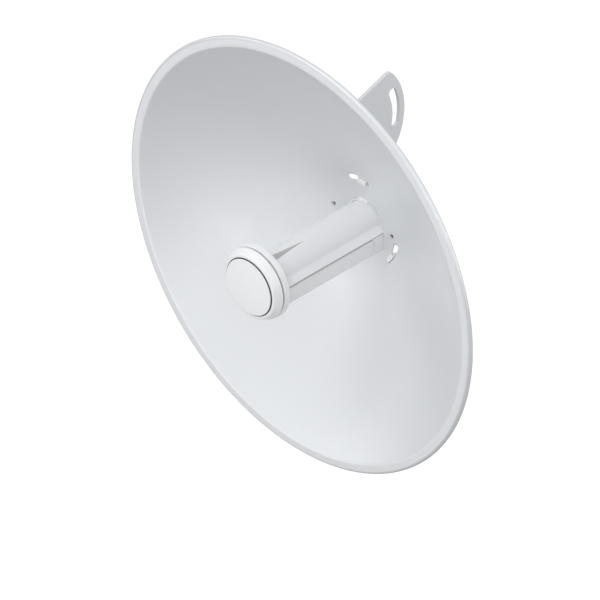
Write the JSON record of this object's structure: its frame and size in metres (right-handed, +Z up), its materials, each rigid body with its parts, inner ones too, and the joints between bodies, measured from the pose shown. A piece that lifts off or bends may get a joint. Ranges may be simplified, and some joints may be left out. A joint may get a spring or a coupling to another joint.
{
  "type": "outdoor wireless bridge",
  "caption": "Outdoor wireless bridge: round dish reflector with a plug-in tubular radio feed through its hub and a slotted tilt bracket plate behind it.",
  "frame": {"origin": "middle of the bracket's pivot hole, on the inner face of its upright plate", "axes": "+X is the tilt axis, out of the plate's inner face towards the dish's middle; +Y runs from the dish to its back, so the antenna looks along -Y; +Z is up"},
  "size_m": [0.42, 0.2432, 0.42],
  "materials": {
    "dish_paint": "satin powder coat",
    "white_plastic": "glossy moulded",
    "bracket_paint": "satin powder coat",
    "zinc": "bright zinc plated",
    "dark_rubber": "matte",
    "grey_rubber": "matte",
    "board_green": "solder resist",
    "bright_tin": "bright tin plated",
    "cast_aluminium": "as cast",
    "dark_plastic": "moulded",
    "clear_plastic": "clear, polished"
  },
  "bodies": {
    "dish_assembly": {"dish_reflector": "dish_paint", "hub_collar": "white_plastic", "dish_bracket": "bracket_paint", "lock_screw_left": "zinc", "lock_screw_right": "zinc", "rear_housing": "white_plastic", "housing_screw_1": "zinc", "housing_screw_2": "zinc", "housing_screw_3": "zinc", "housing_screw_4": "zinc", "cable_grommet": "dark_rubber", "release_spring_left": "zinc", "release_spring_right": "zinc"},
    "feed": {"feed_shell_upper": "white_plastic", "feed_shell_lower": "white_plastic", "feed_flange": "white_plastic", "cap_gasket": "grey_rubber", "feed_cap": "white_plastic", "disc_seal": "dark_rubber", "cap_disc": "white_plastic", "splash_plate": "bright_tin", "radiator_board": "board_green", "radio_board": "board_green", "board_shield": "bright_tin", "heat_spreader": "cast_aluminium", "ethernet_jack": "bright_tin", "feed_end_plate": "white_plastic", "status_light_pipe": "clear_plastic", "reset_switch": "dark_plastic"},
    "reset_button": {"reset_button": "dark_plastic"},
    "release_left": {"release_button_left": "white_plastic"},
    "release_right": {"release_button_right": "white_plastic"},
    "port_cover": {"port_cover": "white_plastic"}
  },
  "joints": [
    {"name": "feed_slide", "type": "slide", "parent": "dish_assembly", "child": "feed", "axis": [0, -1, 0], "range_m": [0, 0.028]},
    {"name": "reset_press", "type": "slide", "parent": "feed", "child": "reset_button", "axis": [0, -1, 0], "range_m": [0, 0.0008], "stiffness_N_per_m": 400},
    {"name": "release_left_press", "type": "slide", "parent": "dish_assembly", "child": "release_left", "axis": [1, 0, 0], "range_m": [0, 0.002], "stiffness_N_per_m": 500, "deforming": ["release_spring_left"]},
    {"name": "release_right_press", "type": "slide", "parent": "dish_assembly", "child": "release_right", "axis": [-1, 0, 0], "range_m": [0, 0.002], "stiffness_N_per_m": 500, "deforming": ["release_spring_right"]},
    {"name": "port_cover_slide", "type": "slide", "parent": "dish_assembly", "child": "port_cover", "axis": [0, 0, -1], "range_m": [0, 0.034]}
  ]
}
